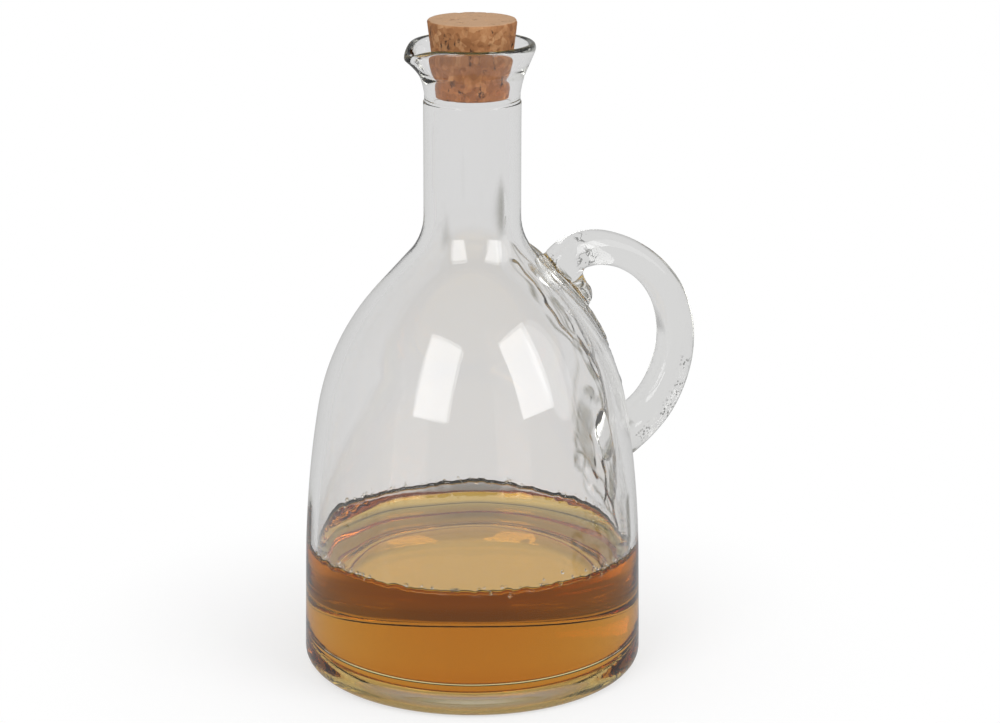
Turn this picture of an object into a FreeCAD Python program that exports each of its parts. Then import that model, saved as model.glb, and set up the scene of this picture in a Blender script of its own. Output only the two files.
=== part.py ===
"""Glass oil and vinegar bottle: pulled pouring lip, loop handle, tapered cork, amber contents.

The bottle is one piece of glass. Its body, shoulder and neck are turned about +Z; the mouth is
flared by hand and pulled into a small lip on the -X side; a rod of hot glass is set on the +X
side as a loop handle, with its end pressed down on the shoulder and curled.
Origin: centre of the base, on the plane that the bottle stands on. Units: millimetres.
"""
import FreeCAD
import Part
import math
import os

# ---- body, neck and base ----
base_radius = 56.4         # outer radius that the side would have at the standing plane
heel_radius = 7.5          # rounding between the side and the base
side_height = 59.6         # first bend of the side, above the standing plane
side_lean = 1.1            # how far the side has leaned in there
side_bend = 355.0          # radius of that long bend
shoulder_rise = 50.1       # second bend, above the first
shoulder_lean = 7.9        # how far the side leans in between the two bends
shoulder_bend = 80.0       # radius of the shoulder
slope_rise = 35.4          # from the shoulder bend to the bend into the neck
neck_radius = 15.75        # outer radius of the neck
neck_bend = 18.5           # hollow radius between the shoulder and the neck
neck_length = 43.2         # from the bend to the mould step under the mouth
step_depth = 0.35          # how far the mouth's wall stands back at that step
wall = 3.4                 # thickness of the blown wall
floor = 6.0                # thickness of the base in the middle
inner_heel_radius = 6.0    # rounding inside, between the wall and the floor
punt_radius = 45.0         # radius of the hollow under the base
punt_height = 2.6          # height of that hollow in the middle

# ---- mouth and pouring lip ----
throat_height = 4.0        # straight part of the mouth above the step
flare_height = 19.0        # from the step to the rim's widest level
flare_out = 4.7            # how far the mouth flares outside the throat
rim_thickness = 3.2        # thickness of the rounded rim
lip_reach = 3.4            # how far the lip is pulled out past the rim
lip_droop = 2.4            # how far its edge is pulled down
lip_spread = 24.0          # half-angle of the pull around the mouth, degrees
ring_depth = 2.0           # how far the mouth's ring is set down into the neck's wall
ring_cover = 0.5           # how far it stands inside the bore before the bore is cut
rim_crown = 1.9            # height of the rounded rim above its widest level

# ---- handle ----
loop_radius = 35.3         # radius of the loop's middle line
loop_offset = 15.5         # loop's centre, inside the base radius
loop_lift = 0.892          # loop's centre above the foot, as a share of the loop's radius
foot_height = 70.5         # where the rod leaves the side, above the standing plane
landing_sag = 2.4          # how far the hot end sank below the loop's own circle
foot_rod = 7.9             # radius of the rod at its foot
outer_rod = 6.3            # radius of the rod at the outside of the loop
drawn_rod = 5.2            # radius where it was drawn thinnest
landing_rod = 6.3          # radius where it lands
smear_height = 25.0        # half-length of the glass smeared down the side under the foot
smear_width = 12.0         # its half-width
smear_thickness = 2.4      # how far it stands out from the side
curl_drop = 11.5           # how far the curled end runs down the shoulder
curl_rod = 5.8             # radius of its rounded tip

# ---- cork ----
cork_length = 24.5
cork_taper = 3.0           # top radius less bottom radius
cork_entry = 0.85          # how much smaller its bottom is than the bore
cork_chamfer = 0.4
seat_height = 9.5          # where the cork meets the bore, above the mould step
seat_gap = 0.05            # clearance left there

# ---- contents ----
fill_height = 39.5         # level of the oil above the standing plane
fill_gap = 0.05            # clearance between the oil and the glass

AXIS = FreeCAD.Vector(0, 0, 1)
shoulder_height = side_height + shoulder_rise
neck_start = shoulder_height + slope_rise
step_height = neck_start + neck_length
rim_height = step_height + flare_height
bore_radius = neck_radius - wall
throat_radius = neck_radius - step_depth
loop_height = foot_height + loop_lift * loop_radius
loop_centre = base_radius - loop_offset


def point(r, z):
    """A point of the plane y = 0."""
    return FreeCAD.Vector(r, 0, z)


def rounded_edges(corners):
    """Edges of an open outline of (radius, height, rounding) corners, with tangent arcs.

    A rounding reaches at most halfway along the shorter run beside its corner.
    """
    edges = []
    last = point(*corners[0][:2])
    for before, corner, after in zip(corners, corners[1:], corners[2:]):
        tip = point(*corner[:2])
        back = (point(*before[:2]) - tip).normalize()
        ahead = (point(*after[:2]) - tip).normalize()
        half = back.getAngle(ahead) / 2
        room = min((point(*before[:2]) - tip).Length, (point(*after[:2]) - tip).Length) / 2
        reach = min(corner[2] / math.tan(half), room)
        radius = reach * math.tan(half)
        start = tip + back * reach
        end = tip + ahead * reach
        middle = (back + ahead).normalize()
        summit = tip + middle * (radius / math.sin(half) - radius)
        edges.append(Part.makeLine(last, start))
        edges.append(Part.Arc(start, summit, end).toShape())
        last = end
    edges.append(Part.makeLine(last, point(*corners[-1][:2])))
    return edges


def turned(edges):
    """The solid turned about the axis by an outline that starts and ends on it."""
    return Part.Face(Part.Wire(edges)).revolve(FreeCAD.Vector(), AXIS, 360)


def side_corners(inset):
    """The side, shoulder and neck as corners, moved inwards by inset along their normals."""
    line = [
        (base_radius, 0.0, 0.0),
        (base_radius - side_lean, side_height, side_bend),
        (base_radius - side_lean - shoulder_lean, shoulder_height, shoulder_bend),
        (neck_radius, neck_start, -neck_bend),
        (neck_radius, step_height, 0.0),
    ]
    moved = []
    for before, corner, after in zip(line, line[1:], line[2:]):
        turn_in = (point(*corner[:2]) - point(*before[:2])).normalize()
        turn_out = (point(*after[:2]) - point(*corner[:2])).normalize()
        normal_in = FreeCAD.Vector(turn_in.z, 0, -turn_in.x)
        normal_out = FreeCAD.Vector(turn_out.z, 0, -turn_out.x)
        mitre = (normal_in + normal_out).normalize()
        shift = mitre * (inset / mitre.dot(normal_in))
        moved.append((corner[0] - shift.x, corner[1] - shift.z, abs(corner[2] - inset)))
    lean = side_lean / side_height
    foot_radius = base_radius - inset * math.hypot(1, lean)
    return foot_radius, moved


def turned_side(inset, bottom, corner_rounding, top, crown):
    """A closed turned form inside the side: its floor height, floor rounding, top and crown dome."""
    foot_radius, moved = side_corners(inset)
    lean = side_lean / side_height
    radius = foot_radius - lean * bottom
    rim = (neck_radius - inset, top, 0.0)
    corners = [(0.0, bottom + crown, 0.0), (radius, bottom, corner_rounding)] + moved + [rim]
    edges = rounded_edges(corners)
    edges.append(Part.makeLine(point(*rim[:2]), point(0, top)))
    edges.append(Part.makeLine(point(0, top), point(0, bottom + crown)))
    return turned(edges)


def outline():
    """The outside of the side, shoulder and neck, as an open wire."""
    foot_radius, moved = side_corners(0.0)
    corners = [(foot_radius, 0.0, 0.0)] + moved + [(neck_radius, step_height, 0.0)]
    return Part.Wire(rounded_edges(corners))


def wall_radius(height):
    """Outer radius of the body at a height."""
    ray = Part.makeLine(point(0, height), point(2 * base_radius, height))
    return ray.distToShape(outline())[1][0][0].x


def mouth_ring():
    """The flared mouth with its rounded rim and pulled lip, as one closed ring of glass."""
    root = step_height - ring_depth
    throat = step_height + throat_height
    mid_flare = (throat + rim_height) / 2
    rim_radius = throat_radius + flare_out
    rim_in = rim_radius - rim_thickness
    hidden = bore_radius - ring_cover
    seat = step_height + seat_height
    section = [
        (throat_radius, root), (throat_radius, step_height + 0.5), (throat_radius, throat),
        (throat_radius + 0.32 * flare_out, mid_flare), (rim_radius - 0.2, rim_height - 2.2),
        (rim_radius + 0.1, rim_height + 0.2),
        (rim_radius - 0.5 * rim_thickness, rim_height + rim_crown), (rim_in, rim_height),
        (bore_radius + 0.45 * (rim_in - bore_radius), mid_flare + rim_thickness),
        (bore_radius + 0.15, seat), (hidden, throat), (hidden, root),
    ]
    count = 32
    spread = math.radians(lip_spread)
    swell = 6.0 / (4.0 + 2.0 * math.cos(2 * math.pi / count))
    rows = []
    for radius, height in section:
        rise = max(0.0, (height - throat) / (rim_height - throat))
        row = []
        for index in range(count):
            angle = 2 * math.pi * index / count
            pull = math.exp(-((angle - math.pi) / spread) ** 2) * rise ** 1.5
            reach = (radius + lip_reach * pull) * swell
            place = (reach * math.cos(angle), reach * math.sin(angle), height - lip_droop * pull)
            row.append(FreeCAD.Vector(*place))
        rows.append(row)
    surface = Part.BSplineSurface()
    surface.buildFromPolesMultsKnots(
        rows, [1] * (len(rows) + 1), [1] * (count + 1),
        list(range(len(rows) + 1)), list(range(count + 1)), True, True, 3, 3)
    ring = Part.Solid(Part.Shell([surface.toShape()]))
    if ring.Volume < 0:
        ring.reverse()
    return ring


def rod(stations):
    """A rod of round section through (x, z, radius) stations in the plane y = 0."""
    path = Part.BSplineCurve()
    path.interpolate([point(x, z) for x, z, _ in stations])
    spots = [path.parameter(point(x, z)) for x, z, _ in stations]
    sections = []
    for station, next_station, low, high in zip(stations, stations[1:], spots, spots[1:]):
        for share in (0.0, 0.5):
            where = low + share * (high - low)
            radius = station[2] + share * (next_station[2] - station[2])
            sections.append(ring_at(path, where, radius))
    sections.append(ring_at(path, spots[-1], stations[-1][2]))
    return Part.makeLoft(sections, True, False)


def ring_at(path, where, radius):
    """A circle across the path, always started from the same side so that lofts don't twist."""
    along = FreeCAD.Vector(*path.tangent(where)[0])
    across = FreeCAD.Vector(0, 1, 0)
    circle = Part.makeCircle(radius)
    turn = FreeCAD.Rotation(across, along.cross(across), along, "ZXY")
    circle.Placement = FreeCAD.Placement(path.value(where), turn)
    return Part.Wire([circle])


def on_loop(degrees):
    """A point of the loop's middle line, by its angle above the level of the loop's centre."""
    angle = math.radians(degrees)
    reach, rise = loop_radius * math.cos(angle), loop_radius * math.sin(angle)
    return point(loop_centre + reach, loop_height + rise)


def angle_on_loop(place):
    """The angle, seen from the loop's centre, of a point of the plane y = 0."""
    return math.degrees(math.atan2(place.z - loop_height, place.x - loop_centre))


def handle():
    """The loop handle: foot, loop, landing on the shoulder, curled end and smeared foot."""
    inside = wall / 2
    upper_half = Part.Arc(on_loop(0), on_loop(90), on_loop(180)).toShape()
    meeting = upper_half.distToShape(outline())[1][0][0]
    foot = point(wall_radius(foot_height), foot_height)
    below, above = angle_on_loop(foot), angle_on_loop(meeting)
    stations = [(foot.x - inside, foot.z - 1.5, foot_rod)]
    bends = [
        (0.61 * below, foot_rod, 0.6), (0.32 * below, foot_rod, 0.25), (0.0, outer_rod, 0.0),
        (0.19 * above, drawn_rod, 0.4), (0.38 * above, drawn_rod, 1.0),
        (0.57 * above, drawn_rod, 0.7), (0.73 * above, drawn_rod, 0.4),
        (0.88 * above, landing_rod, 1.0),
    ]
    for degrees, end_rod, share in bends:
        place = on_loop(degrees)
        stations.append((place.x, place.z, outer_rod + share * (end_rod - outer_rod)))
    landing = meeting.z - landing_sag
    stations.append((wall_radius(landing) - inside, landing - 1.0, landing_rod))
    return rod(stations).fuse([curled_end(landing), smear()])


def curled_end(top):
    """The rod's spare end, pressed down along the shoulder below the landing."""
    stations = []
    for share, radius in ((0.0, 0.85), (0.45, 0.72), (1.0, 1.0)):
        height = top - share * curl_drop
        stations.append((wall_radius(height) + 0.25 * curl_rod, height, radius * curl_rod))
    tip = Part.makeSphere(curl_rod, point(*stations[-1][:2]))
    return rod(stations).fuse(tip)


def smear():
    """Glass drawn down the side under the foot, as a flat drop."""
    drop = Part.makeSphere(1.0)
    stretch = FreeCAD.Matrix()
    stretch.scale(smear_thickness + wall / 2, smear_width, smear_height)
    drop = drop.transformGeometry(stretch)
    middle = foot_height - 0.35 * smear_height
    drop.translate(point(wall_radius(middle) - wall / 2, middle))
    return drop


def cork():
    """The tapered stopper, seated where its side meets the edge of the bore."""
    bottom_radius = bore_radius - cork_entry
    top_radius = bottom_radius + cork_taper
    taper = cork_taper / cork_length
    bottom = step_height + seat_height - (cork_entry - seat_gap) / taper
    stopper = Part.makeCone(bottom_radius, top_radius, cork_length, point(0, bottom), AXIS)
    return stopper.makeChamfer(cork_chamfer, [edge for edge in stopper.Edges if edge.isClosed()])


def punt():
    """The shallow dome under the base, which leaves a ring for the bottle to stand on."""
    dome = (punt_radius ** 2 + punt_height ** 2) / (2 * punt_height)
    lean = math.asin(punt_radius / dome) / 2
    halfway = point(dome * math.sin(lean), punt_height - dome * (1 - math.cos(lean)))
    under = [point(0, punt_height), point(0, -1), point(punt_radius, -1), point(punt_radius, 0)]
    edges = [Part.makeLine(start, end) for start, end in zip(under, under[1:])]
    edges.append(Part.Arc(under[-1], halfway, under[0]).toShape())
    return turned(edges)


def bottle():
    """The whole glass piece: turned body, handle and mouth, with the inside and the punt cut."""
    body = turned_side(0.0, 0.0, heel_radius, step_height, 0.0)
    glass = body.fuse([handle(), mouth_ring()])
    seat = step_height + seat_height
    inside = turned_side(wall, floor, inner_heel_radius, seat, punt_height)
    return glass.cut(inside).cut(punt())


def oil():
    """The contents, up to their level."""
    whole = turned_side(wall + fill_gap, floor + fill_gap, inner_heel_radius, step_height, punt_height)
    level = Part.makeBox(4 * base_radius, 4 * base_radius, fill_height)
    level.translate(FreeCAD.Vector(-2 * base_radius, -2 * base_radius, 0))
    return whole.common(level)


def main():
    os.makedirs("parts", exist_ok=True)
    for name, make in (("bottle", bottle), ("cork_stopper", cork), ("oil", oil)):
        shape = make()
        print(name, "solids", len(shape.Solids), "valid", shape.isValid(),
              "volume ml %.1f" % (shape.Volume / 1000))
        shape.exportStep("parts/" + name + ".step")


main()
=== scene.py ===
# %% [markdown]
# # A blown glass oil bottle with a pulled pouring lip
# The bottle is one piece of glass: a bell-shaped body, a straight neck, a mouth that was flared
# and pulled into a lip while hot, and a loop handle that was set on as a rod of hot glass.
# A tapered cork closes it, and it holds a few fingers of amber oil.
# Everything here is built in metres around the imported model, so no piece needs fitting.

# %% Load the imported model
import math

import bmesh
import bpy
import numpy as np
from mathutils import Matrix, Vector, noise
from mathutils.bvhtree import BVHTree
from mathutils.kdtree import KDTree


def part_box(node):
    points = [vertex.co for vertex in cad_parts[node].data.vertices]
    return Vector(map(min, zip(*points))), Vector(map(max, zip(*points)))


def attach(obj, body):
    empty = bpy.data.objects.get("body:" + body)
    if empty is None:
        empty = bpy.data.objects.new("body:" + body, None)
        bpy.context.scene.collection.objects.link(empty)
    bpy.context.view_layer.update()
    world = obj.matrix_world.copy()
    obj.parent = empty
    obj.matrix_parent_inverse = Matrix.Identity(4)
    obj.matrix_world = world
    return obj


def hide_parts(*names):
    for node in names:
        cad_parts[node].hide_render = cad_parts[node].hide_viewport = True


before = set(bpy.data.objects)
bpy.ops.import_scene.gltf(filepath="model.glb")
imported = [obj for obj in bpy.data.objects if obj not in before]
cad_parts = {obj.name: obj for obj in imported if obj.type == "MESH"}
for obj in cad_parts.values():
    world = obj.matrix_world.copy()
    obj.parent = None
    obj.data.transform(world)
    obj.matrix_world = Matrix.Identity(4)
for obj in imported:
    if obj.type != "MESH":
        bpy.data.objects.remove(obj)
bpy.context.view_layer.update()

glass_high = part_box("bottle")[1]
cork_low, cork_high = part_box("cork_stopper")
oil_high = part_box("oil")[1]
MM = 0.001
print("nodes", sorted(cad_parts))

# %% [markdown]
# ## Shader and geometry maths as plain sums
# Node trees are easier to read as sums than as boxes and wires. A small class wraps a socket, and
# Python's own signs then add the Math nodes. The same class serves shader trees and geometry
# trees, because both know the Math node. Any other node comes from one method, `node`.


# %% A socket that can be added, multiplied and compared
class Wire:
    """An output socket that Python's signs work on."""

    def __init__(self, bench, socket):
        self.bench, self.socket = bench, socket

    def math(self, operation, *others, flipped=False):
        """This socket's value put through one Math node."""
        values = (*others, self) if flipped else (self, *others)
        return self.bench.node("ShaderNodeMath", {"operation": operation}, *values)

    def __add__(self, other):
        return self.math("ADD", other)

    def __sub__(self, other):
        return self.math("SUBTRACT", other)

    def __mul__(self, other):
        return self.math("MULTIPLY", other)

    def __truediv__(self, other):
        return self.math("DIVIDE", other)

    def __pow__(self, other):
        return self.math("POWER", other)

    def __radd__(self, other):
        return self.math("ADD", other, flipped=True)

    def __rsub__(self, other):
        return self.math("SUBTRACT", other, flipped=True)

    def __rmul__(self, other):
        return self.math("MULTIPLY", other, flipped=True)


class Bench:
    """A node tree, and the one method that adds nodes to it."""

    def __init__(self, tree):
        self.tree = tree

    def node(self, kind, settings=None, *values, out=0, **named):
        """A new node: its settings, its inputs in order or by name, and which output to give."""
        made = self.tree.nodes.new(kind)
        for key, value in (settings or {}).items():
            if key == "stops":
                ramp = made.color_ramp
                while len(ramp.elements) < len(value):
                    ramp.elements.new(0.5)
                for stop, (place, colour) in zip(ramp.elements, value):
                    stop.position, stop.color = place, (*colour, 1.0)
            else:
                setattr(made, key, value)
        wanted = list(zip(made.inputs, values))
        wanted += [(made.inputs[key.replace("_", " ")], value) for key, value in named.items()]
        for socket, value in wanted:
            if isinstance(value, Wire):
                self.tree.links.new(value.socket, socket)
            elif value is not None:
                socket.default_value = value
        return Wire(self, made.outputs[out] if made.outputs else None)

    def blend(self, low, high, share):
        """Two colours mixed by a share."""
        made = self.node("ShaderNodeMix", {"data_type": "RGBA"}, out=2).socket.node
        for index, value in ((0, share), (6, low), (7, high)):
            if isinstance(value, Wire):
                self.tree.links.new(value.socket, made.inputs[index])
            else:
                made.inputs[index].default_value = value if index == 0 else (*value, 1.0)
        return Wire(self, made.outputs[2])

    def grain(self, where, scale, detail=2.0, rough=0.5, distortion=0.0):
        """Noise between 0 and 1."""
        return self.node("ShaderNodeTexNoise", None, Vector=where, Scale=scale, Detail=detail,
                         Roughness=rough, Distortion=distortion)

    def stretch(self, where, scale):
        """Coordinates stretched along the axes."""
        return self.node("ShaderNodeMapping", None, Vector=where, Scale=scale)

    def ramp(self, share, low, high):
        """A share stretched so that low gives 0 and high gives 1."""
        return self.node("ShaderNodeMapRange", {"clamp": True, "interpolation_type": "SMOOTHSTEP"},
                         share, low, high, 0.0, 1.0)

    def window(self, share, low, rise, fall, high):
        """1 between rise and fall, with soft slopes to 0 at low and at high."""
        return self.ramp(share, low, rise) * (1 - self.ramp(share, fall, high))

    def attribute(self, name):
        """A number that a piece carries at its own points."""
        return self.node("ShaderNodeAttribute", {"attribute_name": name}, out=2)

    def axes(self, where):
        """The three parts of a place."""
        parts = self.node("ShaderNodeSeparateXYZ", None, where).socket.node
        return [Wire(self, socket) for socket in parts.outputs]


def new_finish(name):
    """An empty material with its bench and its own coordinates."""
    finish = bpy.data.materials.new(name)
    finish.use_nodes = True
    finish.node_tree.nodes.clear()
    bench = Bench(finish.node_tree)
    return finish, bench, bench.node("ShaderNodeTexCoord", None, out=3)


print("bench ready")

# %% [markdown]
# ## Clear stuffs that touch
# Glass and oil both bend light and mirror a little of it. Where oil wets the inside of the
# bottle, though, the two bend light almost alike, and nothing mirrors there. So both finishes
# are a pair of shaders: a glassy one with its faint mirror, and one that only bends. Each point
# of a piece carries an attribute that says which of them holds there.


# %% Two shaders for one clear stuff
def clear_stuff(bench, tint, bend, haze, skin):
    """Bends light everywhere, and mirrors only where oil and glass don't touch."""
    glassy = bench.node("ShaderNodeBsdfPrincipled", None, Base_Color=tint, IOR=bend,
                        Transmission_Weight=1.0, Roughness=haze, Normal=skin)
    bending = bench.node("ShaderNodeBsdfRefraction", None, Color=(1, 1, 1, 1), IOR=bend,
                         Roughness=0.0, Normal=skin)
    return bench.node("ShaderNodeMixShader", None, bench.attribute("wetted"), glassy, bending)


print("clear stuff ready")

# %% [markdown]
# ## The glass
# Clear glass takes a little light away on the way through, and most of all blue, so it turns a
# faint olive where it is thick.
# Hand-worked glass also carries marks of its making: fine drawn lines, specks along the lower
# side of the handle, curls where the hot rod was folded, and a heel that is scuffed by use.
# The marks are dark tints on the clear surface, so light that crosses one comes out dimmer.
# Their places are told from object coordinates, so they stay put when the bottle turns.

# %% Marks in the glass
LOOP_CENTRE = (43 * MM, 101 * MM)
MARK_TINT = (0.12, 0.12, 0.115)
FOLD_SHADE_TINT = (0.13, 0.125, 0.085)
HEEL_TINT = (0.70, 0.65, 0.42)
CURLS = [  # centre and size
    ((0.0390, -0.0055, 0.1345), 0.0055), ((0.0265, -0.004, 0.1345), 0.004),
    ((0.0380, -0.003, 0.1410), 0.003),
]


def handle_marks(bench, place):
    """Where specks, a darker stretch of the inner edge and curls lie on the handle."""
    x, y, z = bench.axes(place)
    reach = ((x - LOOP_CENTRE[0]) ** 2 + (z - LOOP_CENTRE[1]) ** 2) ** 0.5
    low_side = bench.window(z, 66 * MM, 73 * MM, 96 * MM, 102 * MM)
    dots = bench.node("ShaderNodeTexVoronoi", None, Vector=place, Scale=850.0, Randomness=1.0)
    flocks = bench.ramp(bench.grain(place, 190.0, 1.0), 0.45, 0.53)
    specks = (bench.ramp(reach, 31.0 * MM, 34.0 * MM) * low_side
              * (1 - bench.ramp(dots, 0.30, 0.44)) * flocks
              * bench.ramp(x, 52 * MM, 58 * MM) * (1 - bench.ramp(y, -1.5 * MM, 0.5 * MM)))
    inner_edge = ((1 - bench.ramp(reach, 27.2 * MM, 28.2 * MM)) * bench.ramp(x, 60 * MM, 62 * MM)
                  * bench.window(z, 103 * MM, 107 * MM, 114 * MM, 118 * MM))
    threads = 1 - bench.ramp((bench.grain(place, 330.0, 2.0) - 0.5).math("ABSOLUTE"), 0.01, 0.035)
    curls = 0.0
    for centre, size in CURLS:
        off = bench.node("ShaderNodeVectorMath", {"operation": "DISTANCE"}, place, centre, out=1)
        curls = curls + (1 - bench.ramp(off, size * 0.5, size)) * threads
    return (specks + curls + inner_edge * 0.6).math("MINIMUM", 1.0)


print("curls", len(CURLS))


# %% Glass finish
def glass_finish():
    finish, bench, place = new_finish("clear_blown_glass")
    drawn = bench.grain(bench.stretch(place, (1.0, 1.0, 0.18)), 60.0, 3.0, 0.55)
    ripple = bench.grain(place, 24.0, 2.0, 0.45)
    skin = bench.node("ShaderNodeBump", None, Strength=0.05, Distance=0.0006,
                      Height=drawn * 0.5 + ripple)
    smudge = bench.ramp(bench.grain(place, 38.0, 4.0, 0.6), 0.52, 0.75)
    x, y, z = bench.axes(place)
    radius = (x * x + y * y) ** 0.5
    heel = bench.ramp(radius, 44 * MM, 48 * MM) * (1 - bench.ramp(z, 5.0 * MM, 9.0 * MM))
    tint = bench.blend((0.992, 0.990, 0.992), (0.978, 0.976, 0.978), bench.grain(place, 30.0, 3.0))
    tint = bench.blend(tint, MARK_TINT, handle_marks(bench, place))
    # Painted shade on drop rims, folds, patches and the neck's dents, as a dark tint.
    tint = bench.blend(tint, FOLD_SHADE_TINT, bench.attribute("fold"))
    tint = bench.blend(tint, HEEL_TINT, heel)
    clear = clear_stuff(bench, tint, 1.5, smudge * 0.012, skin)
    scuffed = bench.node("ShaderNodeBsdfPrincipled", None, Base_Color=(0.42, 0.41, 0.30, 1),
                         Roughness=0.5)
    streaks = 0.6 + bench.grain(bench.stretch(place, (0.3, 0.3, 4.0)), 120.0, 2.0) * 0.8
    worn = bench.ramp(radius, 48 * MM, 50 * MM) * (1 - bench.ramp(z, 3.0 * MM, 7.0 * MM)) * streaks
    both = bench.node("ShaderNodeMixShader", None, worn * 0.14, clear, scuffed)
    depth = bench.node("ShaderNodeVolumeAbsorption", None, Color=(0.60, 0.60, 0.50, 1.0),
                       Density=10.0)
    bench.node("ShaderNodeOutputMaterial", None, Surface=both, Volume=depth)
    return finish


glass = glass_finish()
print(glass.name)

# %% [markdown]
# ## The oil
# Oil bends light almost as much as glass does. Its amber comes from depth: a thin layer looks
# straw yellow and a deep one brown, because blue goes first and red last.


# %% Oil finish
def oil_finish():
    finish, bench, place = new_finish("amber_oil")
    haze = bench.grain(place, 55.0, 2.0, 0.5)
    tint = bench.blend((1.0, 0.995, 0.985), (0.99, 0.97, 0.93), haze)
    skin = bench.node("ShaderNodeBump", None, Strength=0.05, Distance=0.0008,
                      Height=bench.grain(place, 32.0, 1.0, 0.4))
    clear = clear_stuff(bench, tint, 1.47, haze * 0.01, skin)
    depth = bench.node("ShaderNodeVolumeAbsorption", None, Color=(0.915, 0.68, 0.0, 1.0),
                       Density=54.0)
    bench.node("ShaderNodeOutputMaterial", None, Surface=clear, Volume=depth)
    return finish


oil = oil_finish()
print(oil.name)

# %% [markdown]
# ## The cork
# Natural cork is cut from bark, so its side shows grains, darker growth bands and pores, while
# its sawn top is paler and finer. The finish mixes grains of three browns, adds dark pores, and
# lightens whatever faces up, told from the surface's own direction. The lower part, which sits
# inside the glass neck, gets painted light: its colour is brightened and reddened.


# %% Cork finish
def cork_finish():
    finish, bench, place = new_finish("natural_cork")
    grains = bench.node("ShaderNodeTexVoronoi", {"feature": "F1"}, Vector=place, Scale=520.0,
                        Randomness=1.0, out=1)
    shade = bench.node("ShaderNodeSeparateColor", None, grains)
    bands = bench.grain(bench.stretch(place, (1.0, 1.0, 0.55)), 150.0, 5.0, 0.62, 0.6)
    fine = bench.grain(place, 900.0, 3.0, 0.6)
    mixed = bench.node("ShaderNodeValToRGB", {"stops": [
        (0.0, (0.130, 0.045, 0.012)), (0.36, (0.250, 0.098, 0.030)),
        (0.54, (0.345, 0.150, 0.054)), (0.70, (0.480, 0.255, 0.115)),
        (0.90, (0.680, 0.430, 0.250)),
    ]}, bands * 0.62 + shade * 0.26 + fine * 0.14)
    pores = bench.ramp(bench.grain(bench.stretch(place, (1.0, 1.0, 0.45)), 300.0, 4.0, 0.7),
                       0.60, 0.67)
    height = bench.node("ShaderNodeSeparateXYZ", None, place, out=2)
    # Painted light: the lower cork, inside the glass neck, is brightened and reddened.
    painted_light_low = bench.ramp(height, cork_high.z - 6 * MM, cork_low.z + 4 * MM)
    painted_light_grains = bench.node("ShaderNodeMixRGB", {"blend_type": "MULTIPLY"}, painted_light_low, mixed,
                     (1.8, 1.5, 1.2, 1.0))
    side = bench.blend(painted_light_grains, (0.035, 0.013, 0.005), pores * 0.9)
    up = bench.node("ShaderNodeSeparateXYZ", None,
                    bench.node("ShaderNodeNewGeometry", None, out=1), out=2)
    sawn = bench.ramp(up, 0.6, 0.95)
    pale = bench.blend((0.420, 0.238, 0.120), (0.570, 0.360, 0.215), bands * 0.6 + fine * 0.5)
    top = bench.blend(pale, (0.200, 0.095, 0.040), pores * 0.45)
    skin = bench.node("ShaderNodeBump", None, Strength=0.7, Distance=0.0004,
                      Height=bands + fine * 0.5 - pores * 0.9)
    shader = bench.node("ShaderNodeBsdfPrincipled", None, Base_Color=bench.blend(side, top, sawn),
                        Roughness=0.74 + fine * 0.16, Normal=skin)
    bench.node("ShaderNodeOutputMaterial", None, Surface=shader)
    return finish


cork = cork_finish()
print(cork.name)

# %% [markdown]
# ## Outlines with tangent roundings
# The blown wall is a turned form. Its outline is a short list of corners, each with a rounding,
# which is how a glass maker's mould is drawn. The inside is the same list moved in by the wall.

# %% Sizes of the blown form
WALL = 3.4 * MM
BASE_RADIUS = glass_high.y + 0.15 * MM
NECK_RADIUS = 15.75 * MM
STEP_HEIGHT = glass_high.z - 19.0 * MM
CORNERS = [
    (BASE_RADIUS, 0.0, 0.0),
    (BASE_RADIUS - 1.1 * MM, 59.6 * MM, 355 * MM),
    (BASE_RADIUS - 9.0 * MM, 109.7 * MM, 80 * MM),
    (NECK_RADIUS, 145.1 * MM, 18.5 * MM),
    (NECK_RADIUS, STEP_HEIGHT, 0.0),
]


def moved_in(corners, inset):
    """The corners moved towards the axis by inset, square to their runs."""
    moved = []
    for before, corner, after in zip(corners, corners[1:], corners[2:]):
        tip = Vector(corner[:2])
        first = (tip - Vector(before[:2])).normalized()
        second = (Vector(after[:2]) - tip).normalized()
        normals = Vector((first.y, -first.x)), Vector((second.y, -second.x))
        mitre = (normals[0] + normals[1]).normalized()
        shift = mitre * (inset / mitre.dot(normals[0]))
        hollow = first.x * second.y - first.y * second.x < 0
        moved.append((tip.x - shift.x, tip.y - shift.y, corner[2] + (inset if hollow else -inset)))
    return moved


def rounded(corners, fine=0.4 * MM):
    """An open outline through the corners, with an arc at each rounding."""
    line = [Vector(corners[0][:2])]
    for before, corner, after in zip(corners, corners[1:], corners[2:]):
        tip = Vector(corner[:2])
        back, ahead = Vector(before[:2]) - tip, Vector(after[:2]) - tip
        room = min(back.length, ahead.length) / 2
        back, ahead = back.normalized(), ahead.normalized()
        half = back.angle(ahead) / 2
        reach = min(abs(corner[2]) / math.tan(half), room)
        radius = reach * math.tan(half)
        centre = tip + (back + ahead).normalized() * (radius / math.sin(half))
        start, end = tip + back * reach - centre, tip + ahead * reach - centre
        sweep = start.angle_signed(end)
        steps = max(4, int(abs(sweep) * radius / fine))
        line += [centre + Matrix.Rotation(-sweep * k / steps, 2) @ start for k in range(steps + 1)]
    return line + [Vector(corners[-1][:2])]


def evenly(line, spacing):
    """The same outline as points whose spacing is a function of height."""
    line = np.array([tuple(p) for p in line])
    steps = np.r_[0, np.cumsum(np.hypot(*np.diff(line, axis=0).T))]
    places, reach = [0.0], 0.0
    while reach < steps[-1]:
        reach += spacing(np.interp(reach, steps, line[:, 1]))
        places.append(min(reach, steps[-1]))
    return [(float(np.interp(s, steps, line[:, 0])), float(np.interp(s, steps, line[:, 1])))
            for s in places]


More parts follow.
